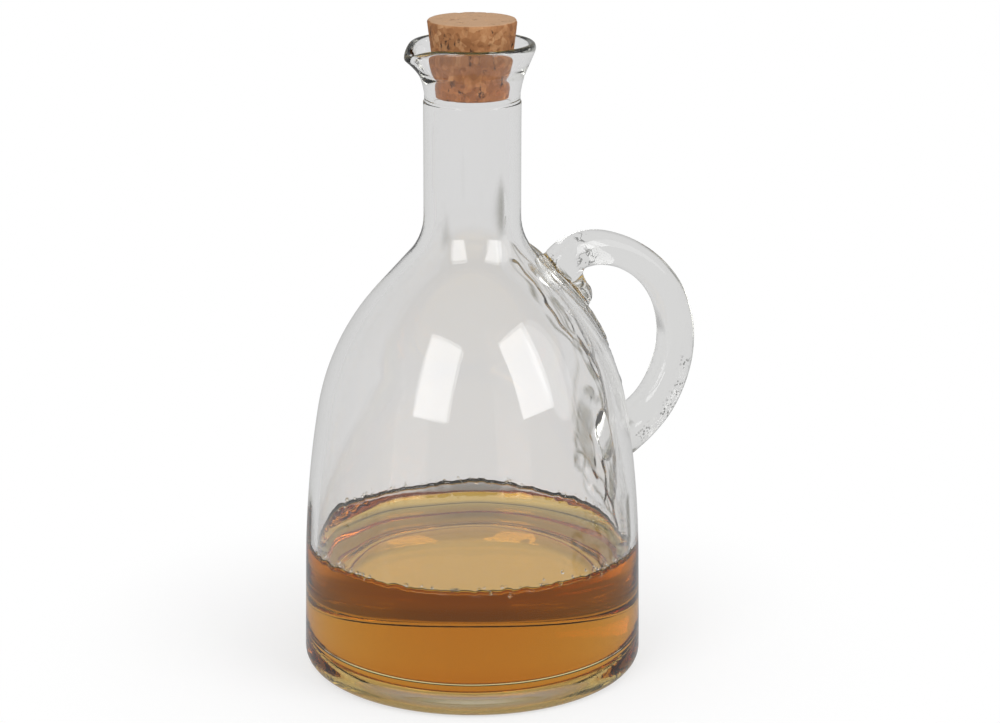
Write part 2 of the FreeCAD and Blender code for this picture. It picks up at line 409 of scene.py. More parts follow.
outer_side = rounded(CORNERS)
inner_side = rounded([(BASE_RADIUS - WALL, 0.0, 0.0)] + moved_in(CORNERS, WALL)
                     + [(NECK_RADIUS - WALL, STEP_HEIGHT, 0.0)])
side_table = np.array([tuple(p) for p in outer_side])


def side_radius(height):
    """Outer radius of the blown form at a height, before anything is set on it."""
    return np.interp(height, side_table[:, 1], side_table[:, 0])


print("outline points", len(outer_side), "inner", len(inner_side))

# %% [markdown]
# ## Turning an outline with Geometry Nodes
# The body, the cork and the oil are all turned forms, so one tree makes them. It reads an
# outline as a row of points, lays a grid with one line per point, and bends the grid round the
# axis. The columns can be gathered on the handle's side, where the pressed glass needs them.


# %% A new tree and its end
def new_tree(name, **inputs):
    """An empty tree, its bench and its inputs: a geometry, the named ones, and a finish."""
    tree = bpy.data.node_groups.new(name, "GeometryNodeTree")
    add = tree.interface.new_socket
    add("Geometry", in_out="INPUT", socket_type="NodeSocketGeometry")
    for key, start in inputs.items():
        kind = "NodeSocketInt" if isinstance(start, int) else "NodeSocketFloat"
        add(key, in_out="INPUT", socket_type=kind).default_value = start
    add("Finish", in_out="INPUT", socket_type="NodeSocketMaterial")
    add("Geometry", in_out="OUTPUT", socket_type="NodeSocketGeometry")
    bench = Bench(tree)
    given = bench.node("NodeGroupInput").socket.node
    return tree, bench, [Wire(bench, socket) for socket in given.outputs[:len(inputs) + 2]]


def close_tree(bench, shape, finish):
    """Smooth shading, real faces and the finish, as every tree here ends."""
    smooth = bench.node("GeometryNodeSetShadeSmooth", None, shape)
    real = bench.node("GeometryNodeRealizeInstances", None, smooth)
    made = bench.node("GeometryNodeSetMaterial", None, Geometry=real, Material=finish)
    bench.node("NodeGroupOutput", None, made)


print("tree helpers ready")


# %% The turning tree
def turning_tree():
    tree, bench, given = new_tree("turn_outline", Columns=96, Gather=0.0)
    outline, columns, gather, finish = given
    rows = bench.node("GeometryNodeAttributeDomainSize", {"component": "MESH"}, outline)
    across = columns + 1
    grid = bench.node("GeometryNodeMeshGrid", None, 1.0, 1.0, rows, across)
    index = bench.node("GeometryNodeInputIndex")
    row = ((index + 0.5) / across).math("FLOOR")
    turn = (index - row * across) / columns * (2 * math.pi)
    turn = turn - gather * turn.math("SINE")
    spot = bench.node("GeometryNodeSampleIndex", {"data_type": "FLOAT_VECTOR", "domain": "POINT"},
                      outline, bench.node("GeometryNodeInputPosition"), row)
    radius, _, height = bench.axes(spot)
    place = bench.node("ShaderNodeCombineXYZ", None, radius * turn.math("COSINE"),
                       radius * turn.math("SINE"), height)
    bent = bench.node("GeometryNodeSetPosition", None, Geometry=grid, Position=place)
    closed = bench.node("GeometryNodeMergeByDistance", None, Geometry=bent, Distance=2e-7)
    close_tree(bench, closed, finish)
    return tree


def run_tree(name, mesh, tree, **inputs):
    """A mesh put through a tree and turned into a plain object."""
    holder = bpy.data.objects.new(name + "_source", mesh)
    bpy.context.scene.collection.objects.link(holder)
    modifier = holder.modifiers.new("tree", "NODES")
    modifier.node_group = tree
    for item in tree.interface.items_tree:
        if item.in_out == "INPUT" and item.name in inputs:
            modifier[item.identifier] = inputs[item.name]
    bpy.context.view_layer.update()
    ready = holder.evaluated_get(bpy.context.evaluated_depsgraph_get())
    plain = bpy.data.meshes.new_from_object(ready)
    bpy.data.objects.remove(holder)
    plain.name = name
    piece = bpy.data.objects.new(name, plain)
    bpy.context.scene.collection.objects.link(piece)
    return piece


def outwards(piece):
    """Turns all faces over if the closed mesh encloses a negative volume."""
    form = bmesh.new()
    form.from_mesh(piece.data)
    if form.calc_volume(signed=True) < 0:
        bmesh.ops.reverse_faces(form, faces=form.faces)
        form.to_mesh(piece.data)
    size = form.calc_volume(signed=True)
    form.free()
    return size


def turned(name, outline, columns, finish, gather=0.0):
    """A closed turned form from an outline that starts and ends on the axis."""
    mesh = bpy.data.meshes.new(name + "_outline")
    points = [(max(r, 0.0), 0.0, z) for r, z in outline]
    mesh.from_pydata(points, [(k, k + 1) for k in range(len(points) - 1)], [])
    piece = run_tree(name, mesh, turning, Columns=columns, Gather=gather, Finish=finish)
    outwards(piece)
    return piece


turning = turning_tree()
print("tree", turning.name, len(turning.nodes), "nodes")


# %% [markdown]
# ## Points as an array
# A turned form is perfect, and hand-made glass isn't. The next steps push the points of a
# finished mesh by formulas, which is quick when all of them come as one array. The pushes that
# should look like chance come from smooth noise, which is the same at every run.


# %% Helpers that read and write a mesh's points
def points_of(piece):
    """The places of a mesh's points, one row each."""
    points = np.empty(len(piece.data.vertices) * 3)
    piece.data.vertices.foreach_get("co", points)
    return points.reshape(-1, 3)


def set_points(piece, points):
    piece.data.vertices.foreach_set("co", points.astype(np.float32).ravel())
    piece.data.update()


def wander(points, size, seed):
    """Smooth noise between -1 and 1 at each point, with lumps of about the given size."""
    shift = Vector((seed * 7.31, seed * 3.17, seed * 5.73))
    return np.array([noise.noise(Vector(p) / size + shift) for p in points])


print("helpers ready")

# %% [markdown]
# ## The mouth
# The mouth stands on a small step left by the mould. It was reheated and opened into a flare
# with a fire-polished rim. Its outline goes through a few points as a smooth curve, because
# glass that sags has no straight runs.

# %% Outline of the mouth
STEP = 0.35 * MM
BORE = NECK_RADIUS - WALL
RIM = glass_high.z
FLARE = [
    (15.45 * MM, RIM - 16.2 * MM), (16.1 * MM, RIM - 12.9 * MM), (17.0 * MM, RIM - 10.0 * MM),
    (18.2 * MM, RIM - 7.2 * MM), (19.4 * MM, RIM - 4.4 * MM), (20.1 * MM, RIM - 2.6 * MM),
    (20.25 * MM, RIM - 1.5 * MM), (19.9 * MM, RIM - 0.5 * MM), (19.1 * MM, RIM),
    (18.2 * MM, RIM - 0.3 * MM), (17.6 * MM, RIM - 1.1 * MM), (17.1 * MM, RIM - 2.4 * MM),
    (16.3 * MM, RIM - 4.6 * MM), (15.2 * MM, RIM - 7.0 * MM), (14.1 * MM, RIM - 9.0 * MM),
    (13.1 * MM, RIM - 10.8 * MM), (12.6 * MM, RIM - 12.6 * MM),
]
LEDGE = [(NECK_RADIUS, STEP_HEIGHT - 0.9 * MM), (NECK_RADIUS, STEP_HEIGHT - 0.12 * MM),
         (NECK_RADIUS - 0.08 * MM, STEP_HEIGHT), (NECK_RADIUS - STEP, STEP_HEIGHT + 0.1 * MM),
         (NECK_RADIUS - STEP, STEP_HEIGHT + 1.0 * MM)]
THROAT = [(BORE + 0.1 * MM, RIM - 14.2 * MM), (BORE, RIM - 16.5 * MM),
          (BORE, STEP_HEIGHT - 2 * MM)]


def flowing(points, count=8):
    """A smooth line through the points, each span a Catmull-Rom curve."""
    ends = [points[0]] + list(points) + [points[-1]]
    line = []
    for a, b, c, d in zip(ends, ends[1:], ends[2:], ends[3:]):
        a, b, c, d = (np.array(p[:2]) for p in (a, b, c, d))
        for share in np.arange(count) / count:
            line.append(0.5 * (2 * b + (c - a) * share + (2 * a - 5 * b + 4 * c - d) * share ** 2
                               + (3 * b - a - 3 * c + d) * share ** 3))
    return [Vector(p) for p in line] + [Vector(points[-1][:2])]


print("mouth corners", len(FLARE) + len(LEDGE) + len(THROAT))

# %% [markdown]
# ## The base
# The base is a shallow recess inside a standing ring, which keeps a blown bottle from rocking.
# Its edge and the inner floor above it are what the dark lines low in the oil come from: light
# is turned back at the flat underside, and the lines are where that begins and ends.

# %% Base, and the whole outline
HEEL, CORNER_IN = 7.5 * MM, 4.0 * MM
PUNT_RADIUS, PUNT_FLAT, PUNT_HEIGHT = BASE_RADIUS - HEEL, 41 * MM, 5.2 * MM
FLOOR, RISE, FLOOR_FLAT = 9.6 * MM, 0.6 * MM, 36  # the last one in mm
BLEND = 22 * MM  # height by which the corners have run into the straight side


def soft_step(low, high, value):
    """0 at low and 1 at high, with a soft slope between."""
    share = np.clip((value - low) / (high - low), 0, 1)
    return share * share * (3 - 2 * share)


under = [Vector((r, PUNT_HEIGHT * (1 - soft_step(PUNT_FLAT, PUNT_RADIUS, r))))
         for r in np.linspace(0, PUNT_RADIUS - 0.2 * MM, 60)]
heel = rounded([(PUNT_RADIUS - 1 * MM, 0.0, 0.0), (BASE_RADIUS, 0.0, HEEL),
                (BASE_RADIUS - 0.4 * MM, BLEND, 0.0)])[1:-1]


def floor_line(over):
    """The inner floor with its corner, a little deeper by `over`."""
    dome = [Vector((r * MM, FLOOR + RISE * (1 - (r / FLOOR_FLAT) ** 2) ** 1.5 - over))
            for r in range(0, FLOOR_FLAT, 2)]
    lean = (CORNERS[0][0] - CORNERS[1][0]) / CORNERS[1][1]
    wall = BASE_RADIUS - WALL + over
    corner = rounded([(FLOOR_FLAT * MM, FLOOR - over, 0.0),
                      (wall - lean * FLOOR, FLOOR - over, CORNER_IN),
                      (wall - lean * BLEND, BLEND, 0.0)])
    return dome + corner[:-1]


outside = under + heel + [p for p in outer_side if 9 * MM < p.y < STEP_HEIGHT - 1.2 * MM]
outside.append(Vector((NECK_RADIUS, STEP_HEIGHT - 1.4 * MM)))
inside = floor_line(0.0) + [p for p in inner_side if 17 * MM < p.y < STEP_HEIGHT - 3 * MM]
inside.append(Vector((BORE, STEP_HEIGHT - 3.5 * MM)))
print("outside", len(outside), "inside", len(inside), "points")

# %% [markdown]
# ### Rows where the form needs them
# The whole bottle is one closed skin: from the recess up the outside, over the rim, and down the
# inside to the floor. Its rows are close at the step under the mouth, at the oil's edge and
# where the handle is pressed on, and wide on the plain neck.


# %% One closed skin
def outer_rows(height):
    if height < 12 * MM:
        return 1.1 * MM
    return 1.0 * MM if height < 142 * MM else 2.0 * MM


def ledge_rows(height):
    return 0.14 * MM if abs(height - STEP_HEIGHT) < 0.5 * MM else 0.7 * MM


def inner_rows(height):
    return 0.6 * MM if abs(height - oil_high.z) < 4 * MM else 1.8 * MM


skin_line = evenly(outside, outer_rows)
mouth_line = evenly([Vector(p) for p in LEDGE] + flowing(FLARE) + [Vector(p) for p in THROAT],
                    ledge_rows)
inner_line = evenly(inside[::-1], inner_rows)
bottle_line = skin_line + mouth_line + inner_line
bottle_line[-1] = (0.0, bottle_line[-1][1])
bottle = turned("bottle_glass", bottle_line, 188, glass, gather=0.62)
print("rows", len(skin_line), len(mouth_line), len(inner_line), "faces", len(bottle.data.polygons))

# %% [markdown]
# ## What the maker's hands did to it
# A mould gives a true form, but heat and breath don't. The inside of the wall wanders a little
# more than the outside, the lip was pulled out and down with a tool, and the hot end of the
# handle spread over the shoulder and down the side in drops and folds. Each is a push on the
# points, by where they lie round the axis and how high.

# %% Uneven walls and the pulled lip
LIP_REACH, LIP_DROOP, LIP_SPREAD = 2.5 * MM, 2.4 * MM, math.radians(20)
# The last number of a dent is how strong the painted shade on it is.
DENTS = [  # degrees, then height, half width, half height and depth in mm, and how dark
    (-73, 156, 2.0, 9.5, 0.35, 0.85), (-152, 147, 1.5, 7.0, 0.2, 0.45),
    (174, 172, 1.4, 18.0, 0.1, 0.3),
]


def dented(points, dent):
    """How far into a dent of the inner wall each point lies."""
    angle, height, half_width, half_height = dent[:4]
    aim = math.radians(angle)
    reach = side_radius(height * MM) - WALL
    across = np.hypot(points[:, 0] - math.cos(aim) * reach, points[:, 1] - math.sin(aim) * reach)
    along = (points[:, 2] - height * MM) / (half_height * MM)
    inner = np.hypot(points[:, 0], points[:, 1]) < side_radius(points[:, 2]) - WALL / 2
    return inner * np.exp(-(across / (half_width * MM) * (1 + along ** 2)) ** 2 - along ** 4)


def worked(points):
    """The points moved as breath and tools moved the real glass."""
    moved = points.copy()
    radius = np.hypot(points[:, 0], points[:, 1])
    away = points[:, :2] / np.maximum(radius, 1e-6)[:, None]
    outer = radius > side_radius(points[:, 2]) - WALL / 2
    calm = soft_step(3 * MM, 14 * MM, points[:, 2]) * soft_step(5 * MM, 20 * MM, radius)
    slow = wander(points * (1, 1, 0.6), 34 * MM, 1)
    quick = wander(points * (1, 1, 0.35), 13 * MM, 2)
    swell = np.where(outer, 0.10 * slow, 0.34 * slow + 0.13 * quick) * MM
    body = soft_step(STEP_HEIGHT, STEP_HEIGHT - 14 * MM, points[:, 2])
    moved[:, :2] += away * (swell * calm * (0.25 + 0.75 * body))[:, None]
    for dent in DENTS:
        moved[:, :2] += away * (dented(points, dent) * dent[4] * MM)[:, None]
    turn = np.arctan2(points[:, 1], -points[:, 0])
    rise = np.clip((points[:, 2] - STEP_HEIGHT - 4 * MM) / (RIM - STEP_HEIGHT - 5.5 * MM), 0, 1)
    pull = np.exp(-(turn / LIP_SPREAD) ** 2) * rise ** 1.7
    sharp = np.exp(-(turn / (0.42 * LIP_SPREAD)) ** 2) * rise ** 3
    moved[:, :2] += away * (pull * LIP_REACH + sharp * 0.5 * MM)[:, None]
    moved[:, 2] -= pull * LIP_DROOP + sharp * 0.5 * MM
    return moved


set_points(bottle, worked(points_of(bottle)))
print("lip", np.round(points_of(bottle)[:, 0].min() / MM, 2), "mm")

# %% [markdown]
# ### Pressed glass under the handle
# Each stroke is a line over the surface, given as angle and height, with a half-width and a
# thickness. The largest ones are the drops, the narrow ones their folds. A drop's rim bends
# light so far aside that it looks dark, so the rims, a few patches and the dents in the neck get
# a painted shade: a dark tint on the glass in place of that darkness.

# %% Drops and folds
# A stroke's last number is how strong the painted shade on its rim is.
STROKES = [  # points as (degrees, height in mm), half-width mm, thickness mm, how dark its rim is
    ([(2, 96), (4, 84), (8, 70), (9, 60), (6, 54)], 13.0, 2.5, 0.35),
    ([(0, 78), (-6, 66), (-8, 55)], 7.0, 1.6, 0.55),
    ([(19, 57), (12, 52), (5, 50), (-3, 47), (-8, 46)], 3.2, 1.3, 0.7),
    ([(10, 84), (15, 74), (18, 62), (19, 55)], 2.4, 1.2, 0.6),
    ([(0, 133), (2, 124), (3, 114), (2, 106)], 10.0, 2.0, 0.5),
    ([(28, 131), (24, 125), (26, 116), (20, 108), (12, 103), (0, 102)], 2.6, 1.4, 0.7),
    ([(-22, 131), (-16, 120), (-13, 110), (-6, 103)], 2.8, 1.1, 0.5),
    ([(8, 126), (11, 118), (9, 110)], 2.2, 1.4, 0.7),
    ([(6, 101), (4, 95), (-3, 89), (-4, 84)], 3.5, 1.7, 0.7),
    ([(12, 66), (10, 58)], 2.4, 1.2, 0.5),
    ([(-4, 50), (-9, 43), (-14, 39)], 3.4, 0.8, 0.6),
]
# Patches of painted shade on the pressed glass.
PAINTED_SHADE_PATCHES = [  # points, half-width mm, how dark
    ([(11, 121), (9, 114)], 1.8, 0.7),
    ([(5, 97), (2, 92), (-4, 88)], 1.8, 0.9),
    ([(10, 82), (13, 73), (15, 64), (12, 57)], 4.4, 0.5),
    ([(-6, 49), (-14, 42)], 2.2, 0.9),
    ([(8, 101), (0, 82), (-6, 66), (-11, 49)], 1.4, 0.95),
    ([(-8, 58), (-9, 50), (-10, 43)], 3.2, 0.9),
    ([(-46, 61), (-47, 48)], 2.2, 0.55),
]


def stroke_distance(turn, height, line):
    """Each point's distance to a line over the surface."""
    nearest = np.full(len(turn), 9.0)
    for (a0, z0), (a1, z1) in zip(line, line[1:]):
        start, end = np.array([math.radians(a0), z0 * MM]), np.array([math.radians(a1), z1 * MM])
        reach = side_radius((z0 + z1) / 2 * MM)
        flat = np.c_[turn * reach, height]
        start, end = start * (reach, 1), end * (reach, 1)
        along = end - start
        share = np.clip(((flat - start) @ along) / (along @ along), 0, 1)
        nearest = np.minimum(nearest, np.hypot(*(flat - start - share[:, None] * along).T))
    return nearest


def under_handle(points):
    """The outer points near the handle, with their angle and height a little disturbed."""
    radius = np.hypot(points[:, 0], points[:, 1])
    turn = np.arctan2(points[:, 1], points[:, 0])
    skin = side_radius(points[:, 2])
    near = np.where((radius > skin - WALL / 2) & (radius < skin + 4.5 * MM) & (np.abs(turn) < 0.95)
                    & (points[:, 2] > 32 * MM) & (points[:, 2] < 142 * MM))[0]
    spots = points[near]
    uneven = 1.6 * MM * np.array([wander(spots, 7 * MM, 11), wander(spots, 7 * MM, 12)])
    return near, turn[near] + uneven[0] / radius[near], spots[:, 2] + uneven[1]


def pressed(points):
    """The outer skin with the handle's hot glass spread over it."""
    moved = points.copy()
    radius = np.hypot(points[:, 0], points[:, 1])
    near, angle, height = under_handle(points)
    spots = points[near]
    lift = np.zeros(len(near))
    for line, half_width, thick, _ in STROKES:
        into = stroke_distance(angle, height, line) / (half_width * MM)
        depth = (1 - soft_step(0.35, 1.0, into)) * thick * MM
        lift = np.maximum(lift, depth) + 0.35 * np.minimum(lift, depth)
    lift *= 1 + 0.25 * wander(spots, 5 * MM, 13)
    moved[near, :2] += (points[near, :2] / radius[near, None]) * lift[:, None]
    return moved


def paint_fold_shade(piece):
    """Paints shade where a drop's rim or a fold would bend the light into a dark line."""
    points = points_of(piece)
    near, angle, height = under_handle(points)
    dark = np.zeros(len(near))
    for line, half_width, _, shade_strength in STROKES:
        off = stroke_distance(angle, height, line) - 0.85 * half_width * MM
        dark = np.maximum(dark, shade_strength * np.exp(-(off / (0.75 * MM)) ** 2))
    for line, half_width, shade_strength in PAINTED_SHADE_PATCHES:
        into = stroke_distance(angle, height, line) / (half_width * MM)
        dark = np.maximum(dark, shade_strength * (1 - soft_step(0.6, 1.1, into)))
    dark *= soft_step(-0.8, 0.1, wander(points[near], 6 * MM, 14))
    marks = np.zeros(len(points), dtype=np.float32)
    marks[near] = np.minimum(dark * 1.6, 1.0)
    # The neck's dents get painted shade too.
    for dent in DENTS:
        marks += dent[5] * dented(points, dent)
    piece.data.attributes.new("fold", "FLOAT", "POINT").data.foreach_set("value", marks)
    return int((marks > 0.2).sum())


set_points(bottle, pressed(points_of(bottle)))
print("strokes", len(STROKES), "widest", np.round(points_of(bottle)[:, 0].max() / MM, 2), "mm")

# %% [markdown]
# ## The loop handle
# The handle is a rod of hot glass that follows a path: a foot pressed on the side, a loop drawn
# thinner as it was bent, and an end pressed on the shoulder and folded back into a round tip.
# Geometry Nodes sweep a circle along the path, with the rod's own radius at each point.


# %% The sweeping tree
def sweeping_tree():
    tree, bench, given = new_tree("sweep_rod", Sides=40, Spacing=1.0 * MM)
    path, sides, spacing, finish = given
    line = bench.node("GeometryNodeMeshToCurve", None, path)
    spline = bench.node("GeometryNodeCurveSplineType", {"spline_type": "CATMULL_ROM"}, line)
    fine = bench.node("GeometryNodeSetSplineResolution", None, Geometry=spline, Resolution=12)
    stepped = bench.node("GeometryNodeResampleCurve", {"mode": "LENGTH"}, Curve=fine,
                         Length=spacing)
    thick = bench.node("GeometryNodeInputNamedAttribute", {"data_type": "FLOAT"}, "rod_radius")
    ring = bench.node("GeometryNodeCurvePrimitiveCircle", {"mode": "RADIUS"}, Resolution=sides,
                      Radius=1.0)
    swept = bench.node("GeometryNodeCurveToMesh", None, Curve=stepped, Profile_Curve=ring,
                       Scale=thick, Fill_Caps=True)
    close_tree(bench, swept, finish)
    return tree


sweeping = sweeping_tree()


def swept(name, stations, sides=40, spacing=1.0 * MM):
    """A rod through (x, z, radius) stations in the plane y = 0, in millimetres."""
    mesh = bpy.data.meshes.new(name + "_path")
    mesh.from_pydata([(x * MM, 0, z * MM) for x, z, _ in stations],
                     [(k, k + 1) for k in range(len(stations) - 1)], [])
    mesh.attributes.new("rod_radius", "FLOAT", "POINT").data.foreach_set(
        "value", [radius * MM for _, _, radius in stations])
    piece = run_tree(name, mesh, sweeping, Sides=sides, Spacing=spacing, Finish=glass)
    outwards(piece)
    return piece


LOOP = [(52.0, 67.6, 7.6), (56.5, 70.6, 7.9), (62.6, 74.6, 7.5), (68.6, 80.4, 7.1),
        (73.2, 88.4, 6.8), (75.9, 98.0, 6.5), (75.6, 108.4, 6.2), (72.0, 118.6, 5.8),
        (65.2, 127.2, 5.4), (56.0, 133.4, 5.4), (46.0, 136.4, 5.9), (37.6, 135.6, 6.4),
        (31.2, 131.0, 6.6), (29.2, 127.6, 6.2)]
TAIL = [(32.0, 134.0, 5.4), (34.4, 130.6, 5.5), (35.4, 127.4, 4.7), (36.2, 124.4, 5.2),
        (36.8, 121.4, 5.6)]
loop = swept("loop_rod", LOOP)
tail = swept("tail_rod", TAIL)
print("handle reaches", np.round(points_of(loop)[:, 0].max() / MM, 1),
      "of", round(glass_high.x / MM, 1), "mm")

# %% [markdown]
# ### Ends of the rods
# A rod's cut ends must not show inside the clear bottle, so their points are moved out into the
# thickness of the wall. The free end of the fold is a round blob, as melted glass draws itself.

# %% Hidden ends and the round tip
TIP_X, TIP_Z = TAIL[-1][0] * MM, TAIL[-1][1] * MM
TIP_RADIUS, TIP_LEAN = 6.4 * MM, math.radians(-35)


def settle_ends(piece, sink=1.9 * MM):
    """Keeps a rod's hidden ends inside the wall, so that none shows in the bottle."""
    points = points_of(piece)
    radius = np.hypot(points[:, 0], points[:, 1])
    least = side_radius(points[:, 2]) - sink
    deep = radius < least
    points[deep, :2] *= (least[deep] / np.maximum(radius[deep], 1e-6))[:, None]
    set_points(piece, points)
    return int(deep.sum())


def ball(name, x, z, radius, squash):
    """A round blob of glass."""
    form = bmesh.new()
    bmesh.ops.create_icosphere(form, subdivisions=4, radius=radius)
    bmesh.ops.scale(form, vec=squash, verts=form.verts)
    bmesh.ops.rotate(form, matrix=Matrix.Rotation(TIP_LEAN, 3, "Y"), verts=form.verts)
    bmesh.ops.translate(form, vec=(x, 0, z), verts=form.verts)
    mesh = bpy.data.meshes.new(name)
    form.to_mesh(mesh)
    form.free()
    piece = bpy.data.objects.new(name, mesh)
    bpy.context.scene.collection.objects.link(piece)
    return piece


tip = ball("tip_blob", TIP_X, TIP_Z, TIP_RADIUS, (0.98, 1.12, 1.0))
print("points kept in the wall", settle_ends(loop), settle_ends(tail), settle_ends(tip))

# %% [markdown]
# ## Melting the pieces into one
# Hot glass flows together, so the rod and the bottle are joined into a single skin. A Boolean
# union gives the shape, and the points close to the joint are then relaxed, which turns the
# sharp line into the soft fillet that melted glass has.


# %% Union and soft fillets
def joined(base, others):
    """The base with the other pieces melted into it."""
    for other in others:
        modifier = base.modifiers.new("join", "BOOLEAN")
        modifier.operation, modifier.object, modifier.solver = "UNION", other, "MANIFOLD"
    bpy.context.view_layer.update()
    ready = base.evaluated_get(bpy.context.evaluated_depsgraph_get())
    mesh = bpy.data.meshes.new_from_object(ready)
    base.modifiers.clear()
    old = base.data
    base.data = mesh
    bpy.data.meshes.remove(old)
    for other in others:
        bpy.data.objects.remove(other)
    return base


def tree_of(piece):
    return BVHTree.FromObject(piece, bpy.context.evaluated_depsgraph_get())


def soften(piece, skins, reach, rounds):
    """Relaxes the points within reach of where two of the skins meet."""
    form = bmesh.new()
    form.from_mesh(piece.data)
    form.verts.ensure_lookup_table()
    seam = []
    for vert in form.verts:
        touching = sum(skin.find_nearest(vert.co, 2e-5)[0] is not None for skin in skins)
        if touching > 1:
            seam.append(vert.co.copy())
    tree = KDTree(len(seam))
    for index, place in enumerate(seam):
        tree.insert(place, index)
    tree.balance()
    share = {}
    for vert in form.verts:
        if vert.co.x > 20 * MM:
            found = tree.find(vert.co)[2]
            if found < reach:
                share[vert] = 1 - (found / reach) ** 2
    for _ in range(rounds):
        places = {}
        for vert, weight in share.items():
            ring = [edge.other_vert(vert).co for edge in vert.link_edges]
            middle = sum(ring, Vector()) / len(ring)
            places[vert] = vert.co.lerp(middle, 0.5 * weight)
        for vert, place in places.items():
            vert.co = place
    form.to_mesh(piece.data)
    form.free()
    return len(seam), len(share)


def triangles(piece):
    return sum(len(polygon.vertices) - 2 for polygon in piece.data.polygons)


bpy.context.view_layer.update()
skins = [tree_of(piece) for piece in (bottle, loop, tail, tip)]
joined(bottle, [loop, tail, tip])
print("seam and relaxed points", soften(bottle, skins, 2.6 * MM, 14))
bottle.data.materials.clear()
bottle.data.materials.append(glass)
bottle.data.shade_smooth()
print("bottle triangles", triangles(bottle), "volume ml", round(outwards(bottle) * 1e6, 1))

# %% [markdown]
# ## The oil
# Real oil wets the glass, so its edge creeps up the wall in an uneven line. The solid reaches a
# touch into the wall, which leaves no air gap between the two, and its top is level except for
# that creeping edge.

# %% Oil with its creeping edge
LEVEL = oil_high.z + 1.0 * MM
OVER = 0.12 * MM  # how far the oil reaches into the wall
CREEP = 1.7 * MM
CLIMBS = [(65, 23, 1.6), (130, 30, 3.0), (18, 15, 0.8)]  # degrees, spread, rise in mm
TOWARDS_CAMERA = (-0.42, -0.91)  # the edge stands a little higher on this side

wall_line = rounded([(BASE_RADIUS - WALL + OVER, 0.0, 0.0)] + moved_in(CORNERS, WALL - OVER)
                    + [(BORE, STEP_HEIGHT, 0.0)])
oil_side = floor_line(OVER) + [p for p in wall_line if 17 * MM < p.y < LEVEL]
edge_radius = oil_side[-1].x
creeping = [Vector((edge_radius - 0.02 * MM - CREEP * 1.3 * share,
                    LEVEL + CREEP * math.exp(-3.2 * share) - 0.15 * MM))
            for share in np.linspace(0, 1, 14)]
oil_line = evenly(oil_side, lambda z: 1.2 * MM) + evenly(
    creeping + [Vector((0.0, LEVEL))], lambda z: 0.5 * MM if z > LEVEL + 0.05 * MM else 2.0 * MM)
oil_line[0], oil_line[-1] = (0.0, oil_line[0][1]), (0.0, LEVEL)
contents = turned("oil_fill", oil_line, 240, oil)


def crept(points):
    """The edge of the oil, higher in some places and torn in others."""
    moved = points.copy()
    radius = np.hypot(points[:, 0], points[:, 1])
    turn = np.arctan2(points[:, 1], points[:, 0])
    round_axis = np.c_[np.cos(turn), np.sin(turn), np.zeros(len(turn))] * edge_radius
    slow = wander(round_axis, 22 * MM, 21)
    torn = wander(round_axis, 3.2 * MM, 22)
    fine = wander(round_axis, 1.1 * MM, 23)
    front = soft_step(-0.2, 0.9, points[:, :2] @ TOWARDS_CAMERA / edge_radius)
    climbs = sum(rise * np.exp(-(((np.degrees(turn) - middle + 180) % 360 - 180) / spread) ** 2)
                 for middle, spread, rise in CLIMBS)
    top = soft_step(LEVEL - 2 * MM, LEVEL + 0.5 * MM, points[:, 2])
    edge = top * soft_step(edge_radius - 5 * MM, edge_radius - 0.4 * MM, radius)
    moved[:, 2] += edge * (0.4 * slow + 0.7 * torn + 0.45 * fine + 1.2 * front + climbs - 0.3) * MM
    ripple = wander(points * (1, 1, 0), 30 * MM, 24)
    moved[:, 2] += top * (1 - edge) * 0.18 * MM * ripple
    return moved


set_points(contents, crept(worked(points_of(contents))))
print("oil ml", round(outwards(contents) * 1e6, 1))

# %% [markdown]
# ### Where oil and glass touch
# The two finishes need to know which of their points touch. On the bottle these are the points
# of the inner wall below the oil's edge, and on the oil all that look down or sideways.


# %% Marks for the wetted wall
def mark_wetted(piece, painted_light_grains):
    """Marks the points where oil and glass touch."""
    mark = piece.data.attributes.new("wetted", "FLOAT", "POINT")
    mark.data.foreach_set("value", painted_light_grains.astype(np.float32))
    return int(painted_light_grains.sum())


def edge_heights(piece):
    """Height of the oil's edge by angle, as a table read from its outermost top points."""
    points = points_of(piece)
    radius = np.hypot(points[:, 0], points[:, 1])
    rim = points[(radius > edge_radius - 0.3 * MM) & (points[:, 2] > LEVEL - 1.5 * MM)]
    turn = np.arctan2(rim[:, 1], rim[:, 0])
    bins = np.linspace(-math.pi, math.pi, 241)
    tops = [rim[(turn >= a) & (turn <= b), 2].max(initial=LEVEL) for a, b in zip(bins, bins[1:])]
    return bins[:-1], tops


bins, heights = edge_heights(contents)


def under_oil(piece):
    """Which points of the bottle lie inside it and under the oil's edge."""
    points = points_of(piece)
    radius = np.hypot(points[:, 0], points[:, 1])
    inner = radius < side_radius(points[:, 2]) - 0.55 * WALL
    edge = np.interp(np.arctan2(points[:, 1], points[:, 0]), bins, heights)
    return inner & (points[:, 2] < edge - 0.4 * MM) & (points[:, 2] > FLOOR - 2 * MM)


def against_glass(piece):
    """Which points of the oil look down or sideways, at the glass."""
    normals = np.empty(len(piece.data.vertices) * 3)
    piece.data.vertices.foreach_get("normal", normals)
    return normals.reshape(-1, 3)[:, 2] < 0.2


print("folds marked at", paint_fold_shade(bottle), "points")
print("wetted points", mark_wetted(bottle, under_oil(bottle)), "of the bottle,",
      mark_wetted(contents, against_glass(contents)), "of the oil")
print("oil triangles", triangles(contents))

# %% [markdown]
# ## Beads of oil
# Along its edge the oil leaves small beads on the glass: hundreds of small round things along a
# line, which is what instancing on points in Geometry Nodes is for. Each bead takes its size
# from chance with a fixed seed, and small ones are by far the most common.


